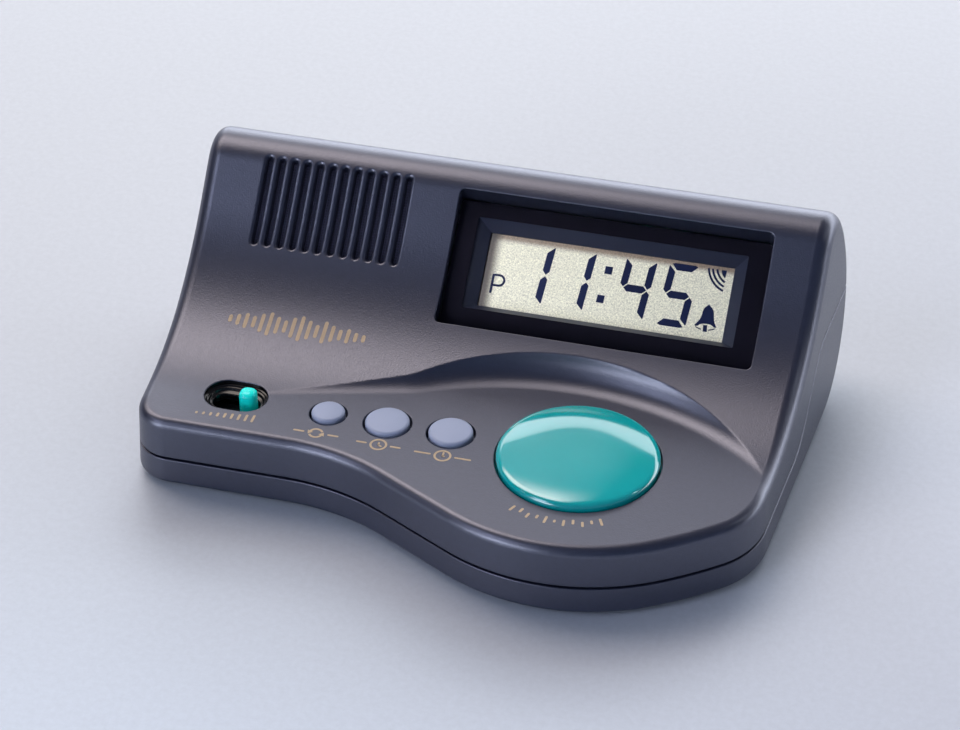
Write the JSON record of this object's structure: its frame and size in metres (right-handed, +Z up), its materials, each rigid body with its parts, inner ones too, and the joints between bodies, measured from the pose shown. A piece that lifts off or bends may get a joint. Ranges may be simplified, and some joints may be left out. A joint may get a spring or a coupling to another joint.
{
  "type": "talking timer",
  "caption": "Desk talking timer with a sloping display face, sound slots, small set buttons, volume slider and one large round talk button; runs on small cells under a sliding door.",
  "frame": {"origin": "centre of the footprint box, on the plane the feet stand on", "axes": "+X to the right as seen from the front, +Y to the rear, +Z up"},
  "size_m": [0.133, 0.0929, 0.0425],
  "materials": {
    "case_plastic": "fine satin texture",
    "lens_clear": "clear polished sheet",
    "border_black": "printed black behind the lens",
    "frame_plastic": "smooth dark moulding",
    "lcd_cream": "grey-green display glass",
    "strip_rubber": "soft strip",
    "board_green": "solder mask",
    "chip_black": "resin drop",
    "contact_metal": "nickel plated",
    "sleeve_blue": "shrink sleeve",
    "screw_steel": "zinc plated",
    "cloth_black": "woven",
    "speaker_steel": "pressed sheet",
    "cone_paper": "dark pulp",
    "magnet_iron": "plated",
    "talk_teal": "polished",
    "dome_rubber": "silicone",
    "key_plastic": "satin",
    "knob_teal": "polished",
    "cell_wrap": "printed sleeve",
    "foot_rubber": "matt",
    "lead_red": "insulated wire",
    "lead_yellow": "insulated wire"
  },
  "bodies": {
    "case": {"upper_case": "case_plastic", "lower_case": "case_plastic", "display_lens": "lens_clear", "lens_mask": "border_black", "lcd_frame": "frame_plastic", "lcd_panel": "lcd_cream", "contact_strips": "strip_rubber", "display_board": "board_green", "voice_chip": "chip_black", "clock_crystal": "contact_metal", "board_capacitors": "sleeve_blue", "display_screws": "screw_steel", "grille_cloth": "cloth_black", "speaker_frame": "speaker_steel", "speaker_cone": "cone_paper", "speaker_magnet": "magnet_iron", "speaker_retainer": "frame_plastic", "speaker_screws": "screw_steel", "key_board": "board_green", "key_screws": "screw_steel", "talk_dome": "dome_rubber", "mode_dome": "dome_rubber", "hour_dome": "dome_rubber", "minute_dome": "dome_rubber", "volume_switch": "speaker_steel", "battery_cells": "cell_wrap", "battery_link": "contact_metal", "battery_plate": "contact_metal", "battery_spring": "contact_metal", "case_screws": "screw_steel", "rubber_feet": "foot_rubber", "speaker_leads": "lead_red", "battery_leads": "lead_red", "board_leads": "lead_yellow"},
    "talk_button": {"talk_button": "talk_teal"},
    "mode_button": {"mode_button": "key_plastic"},
    "hour_button": {"hour_button": "key_plastic"},
    "minute_button": {"minute_button": "key_plastic"},
    "volume_knob": {"volume_knob": "knob_teal"},
    "battery_door": {"battery_door": "case_plastic"}
  },
  "joints": [
    {"name": "talk_press", "type": "slide", "parent": "case", "child": "talk_button", "axis": [0, 0, -1], "range_m": [0, 0.0012], "stiffness_N_per_m": 700, "springref_m": -0.001, "deforming": ["talk_dome"]},
    {"name": "mode_press", "type": "slide", "parent": "case", "child": "mode_button", "axis": [0, 0, -1], "range_m": [0, 0.0007], "stiffness_N_per_m": 500, "springref_m": -0.001, "deforming": ["mode_dome"]},
    {"name": "hour_press", "type": "slide", "parent": "case", "child": "hour_button", "axis": [0, 0, -1], "range_m": [0, 0.0007], "stiffness_N_per_m": 500, "springref_m": -0.001, "deforming": ["hour_dome"]},
    {"name": "minute_press", "type": "slide", "parent": "case", "child": "minute_button", "axis": [0, 0, -1], "range_m": [0, 0.0007], "stiffness_N_per_m": 500, "springref_m": -0.001, "deforming": ["minute_dome"]},
    {"name": "volume_slide", "type": "slide", "parent": "case", "child": "volume_knob", "axis": [1, 0, 0], "range_m": [-0.005, 0]},
    {"name": "door_slide", "type": "slide", "parent": "case", "child": "battery_door", "axis": [0, 1, 0], "range_m": [0, 0.04]}
  ]
}
